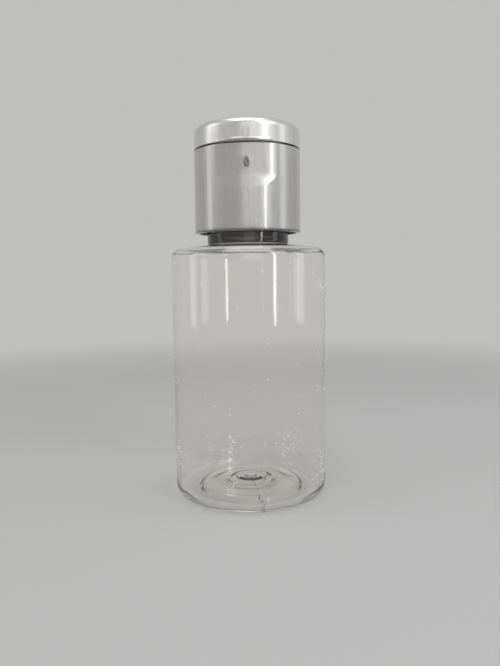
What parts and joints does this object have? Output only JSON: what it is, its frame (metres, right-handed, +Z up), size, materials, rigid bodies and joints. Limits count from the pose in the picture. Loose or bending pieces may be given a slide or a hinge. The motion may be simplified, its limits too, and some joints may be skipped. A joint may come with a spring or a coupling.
{
  "type": "flip-top bottle",
  "caption": "Clear 30 ml PET bottle with a satin silver flip-top screw closure and a moulded snap hinge.",
  "frame": {"origin": "middle of the flat ring that the bottle stands on", "axes": "+Z up the bottle's axis, -Y towards the front with the thumb recess, +Y towards the lid's hinge"},
  "size_m": [0.03, 0.03, 0.0712],
  "materials": {
    "clear_pet": "clear, glossy",
    "silver_plastic": "metallic silver, satin",
    "white_foam": "matt, slightly soft"
  },
  "bodies": {
    "bottle": {"bottle": "clear_pet"},
    "liner": {"sealing_liner": "white_foam"},
    "closure": {"closure_base": "silver_plastic", "spout": "silver_plastic", "hinge_film": "silver_plastic", "hinge_strap_left": "silver_plastic", "hinge_strap_right": "silver_plastic"},
    "lid": {"flip_lid": "silver_plastic"}
  },
  "joints": [
    {"name": "closure_rise", "type": "slide", "parent": "bottle", "child": "liner", "axis": [0, 0, 1], "range_m": [0, 0.00476]},
    {"name": "closure_turn", "type": "hinge", "parent": "liner", "child": "closure", "pos_m": [0, 0, 0.0511], "axis": [0, 0, 1], "range_deg": [0, 540]},
    {"name": "lid_flip", "type": "hinge", "parent": "closure", "child": "lid", "pos_m": [0, 0.0105, 0.0667], "axis": [-1, 0, 0], "range_deg": [0, 150], "deforming": ["hinge_film", "hinge_strap_left", "hinge_strap_right"]}
  ],
  "couplings": [
    {"joint": "closure_rise", "follows": "closure_turn", "m_per_rad": 0.00050532}
  ]
}
